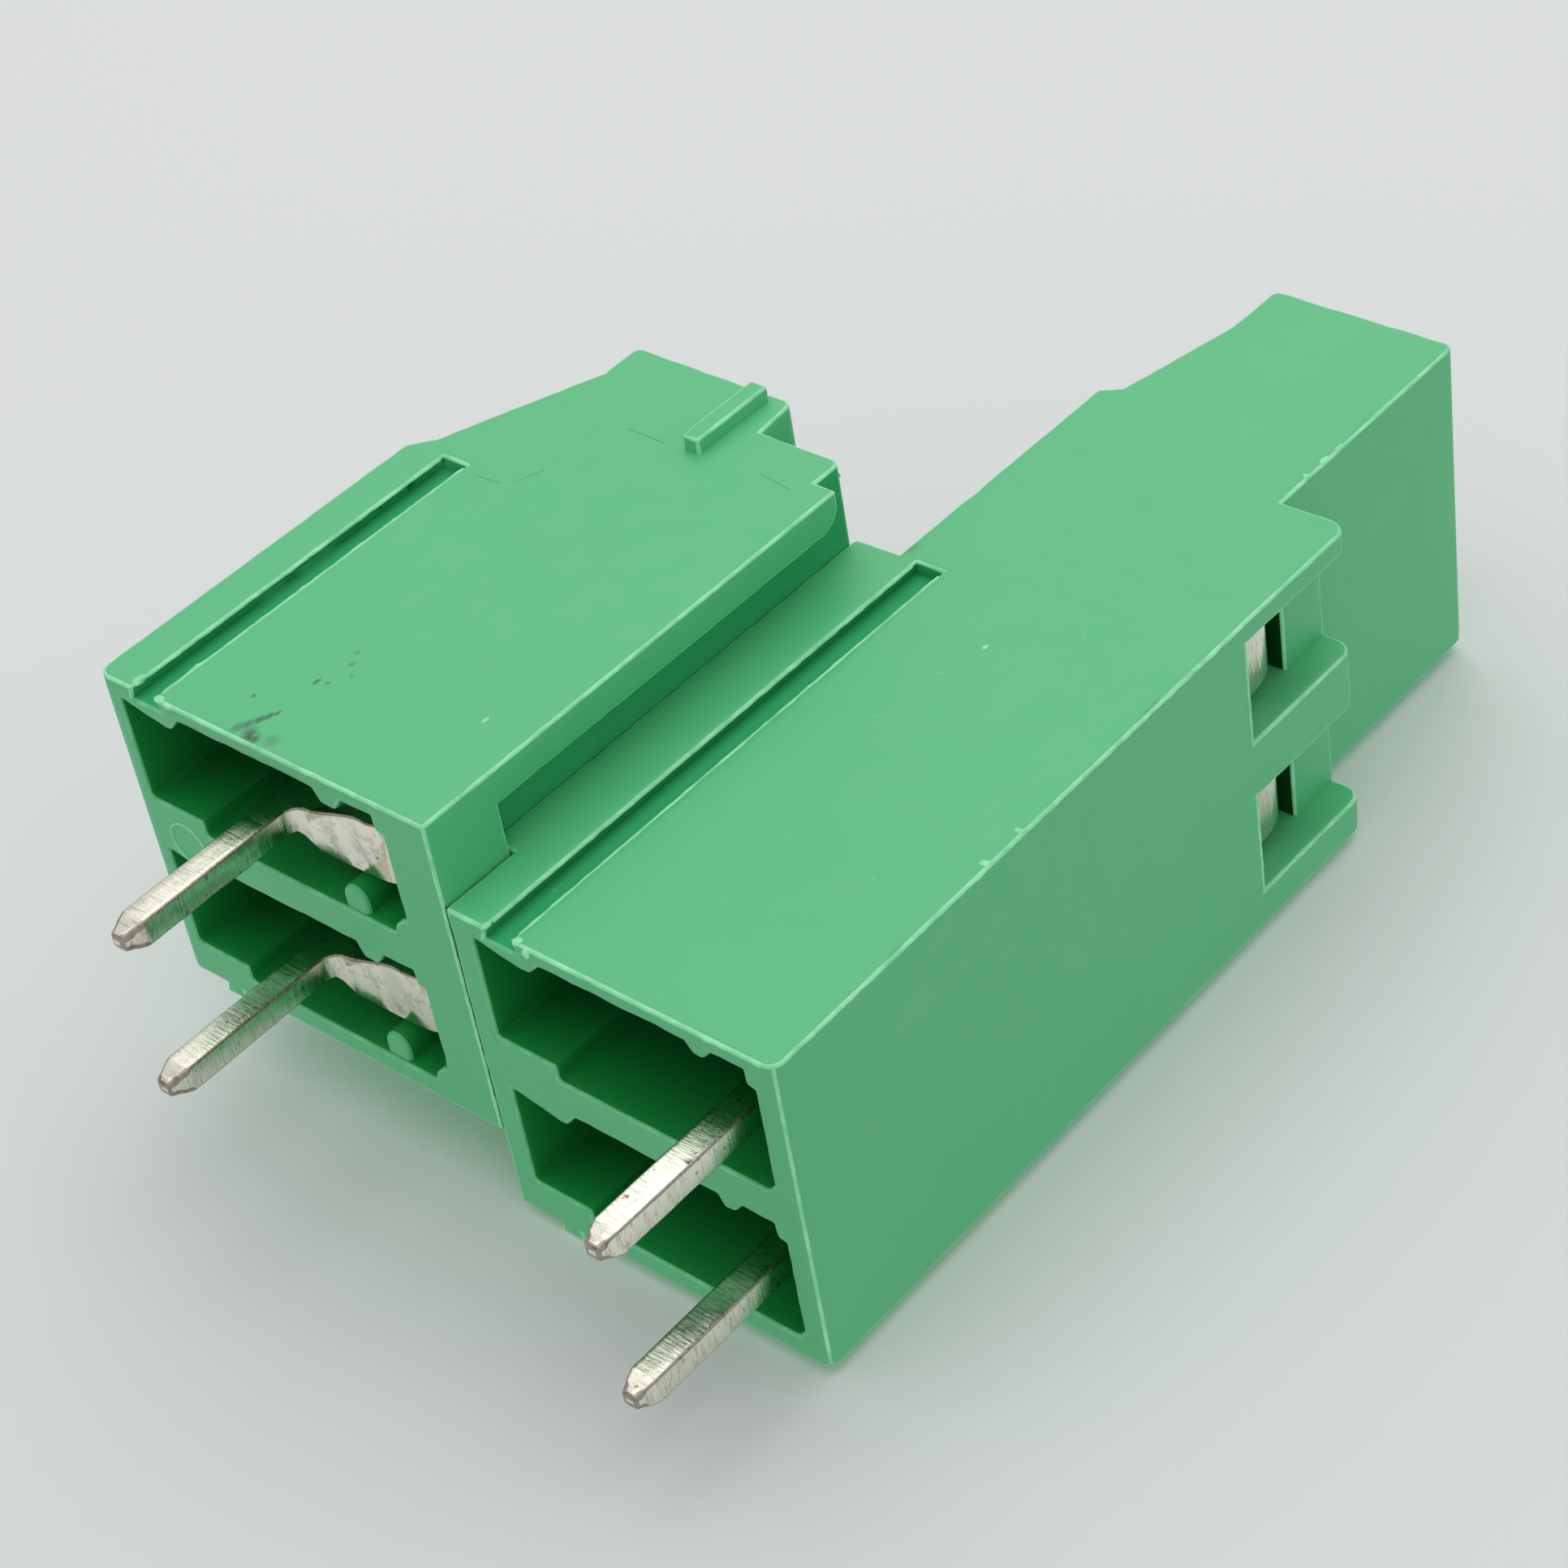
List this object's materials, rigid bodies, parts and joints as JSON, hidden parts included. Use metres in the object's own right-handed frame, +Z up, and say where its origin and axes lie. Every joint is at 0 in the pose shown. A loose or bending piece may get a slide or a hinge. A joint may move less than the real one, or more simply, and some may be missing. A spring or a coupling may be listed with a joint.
{
  "type": "pcb screw terminal",
  "caption": "Two-level screw terminal block for a circuit board: green housings set back to front and offset by half a pitch, tinned pins, rising wire cages, slotted screws.",
  "frame": {"origin": "middle of the footprint, in the plane that rests on the board", "axes": "+Z up from the board, away from the pins; +Y from the wire entries to the tall rear housing; +X towards the side with the grooves"},
  "size_m": [0.0135, 0.0222, 0.0369],
  "materials": {
    "green_plastic": "satin moulded",
    "tinned_copper": "bright tin with drawing marks",
    "cage_steel": "nickel plated",
    "screw_steel": "bright zinc"
  },
  "bodies": {
    "block": {"lower_housing": "green_plastic", "upper_housing": "green_plastic", "lower_contact_1": "tinned_copper", "lower_contact_2": "tinned_copper", "upper_contact_1": "tinned_copper", "upper_contact_2": "tinned_copper"},
    "lower_screw_1": {"lower_screw_1": "screw_steel"},
    "lower_cage_1": {"lower_cage_1": "cage_steel"},
    "lower_screw_2": {"lower_screw_2": "screw_steel"},
    "lower_cage_2": {"lower_cage_2": "cage_steel"},
    "upper_screw_1": {"upper_screw_1": "screw_steel"},
    "upper_cage_1": {"upper_cage_1": "cage_steel"},
    "upper_screw_2": {"upper_screw_2": "screw_steel"},
    "upper_cage_2": {"upper_cage_2": "cage_steel"}
  },
  "joints": [
    {"name": "lower_screw_1_turn", "type": "hinge", "parent": "block", "child": "lower_screw_1", "pos_m": [-0.00127, -0.00575, 0.0125], "axis": [0, 0, 1], "range_deg": [-1762, 0]},
    {"name": "lower_cage_1_rise", "type": "slide", "parent": "block", "child": "lower_cage_1", "axis": [0, 0, 1], "range_m": [0, 0.0022]},
    {"name": "lower_screw_2_turn", "type": "hinge", "parent": "block", "child": "lower_screw_2", "pos_m": [0.00381, -0.00575, 0.0125], "axis": [0, 0, 1], "range_deg": [-1762, 0]},
    {"name": "lower_cage_2_rise", "type": "slide", "parent": "block", "child": "lower_cage_2", "axis": [0, 0, 1], "range_m": [0, 0.0022]},
    {"name": "upper_screw_1_turn", "type": "hinge", "parent": "block", "child": "upper_screw_1", "pos_m": [-0.00381, 0.00585, 0.0262], "axis": [0, 0, 1], "range_deg": [-1762, 0]},
    {"name": "upper_cage_1_rise", "type": "slide", "parent": "block", "child": "upper_cage_1", "axis": [0, 0, 1], "range_m": [0, 0.0022]},
    {"name": "upper_screw_2_turn", "type": "hinge", "parent": "block", "child": "upper_screw_2", "pos_m": [0.00127, 0.00585, 0.0262], "axis": [0, 0, 1], "range_deg": [-1762, 0]},
    {"name": "upper_cage_2_rise", "type": "slide", "parent": "block", "child": "upper_cage_2", "axis": [0, 0, 1], "range_m": [0, 0.0022]}
  ],
  "couplings": [
    {"joint": "lower_screw_1_turn", "follows": "lower_cage_1_rise", "rad_per_m": -13963},
    {"joint": "lower_screw_2_turn", "follows": "lower_cage_2_rise", "rad_per_m": -13963},
    {"joint": "upper_screw_1_turn", "follows": "upper_cage_1_rise", "rad_per_m": -13963},
    {"joint": "upper_screw_2_turn", "follows": "upper_cage_2_rise", "rad_per_m": -13963}
  ]
}
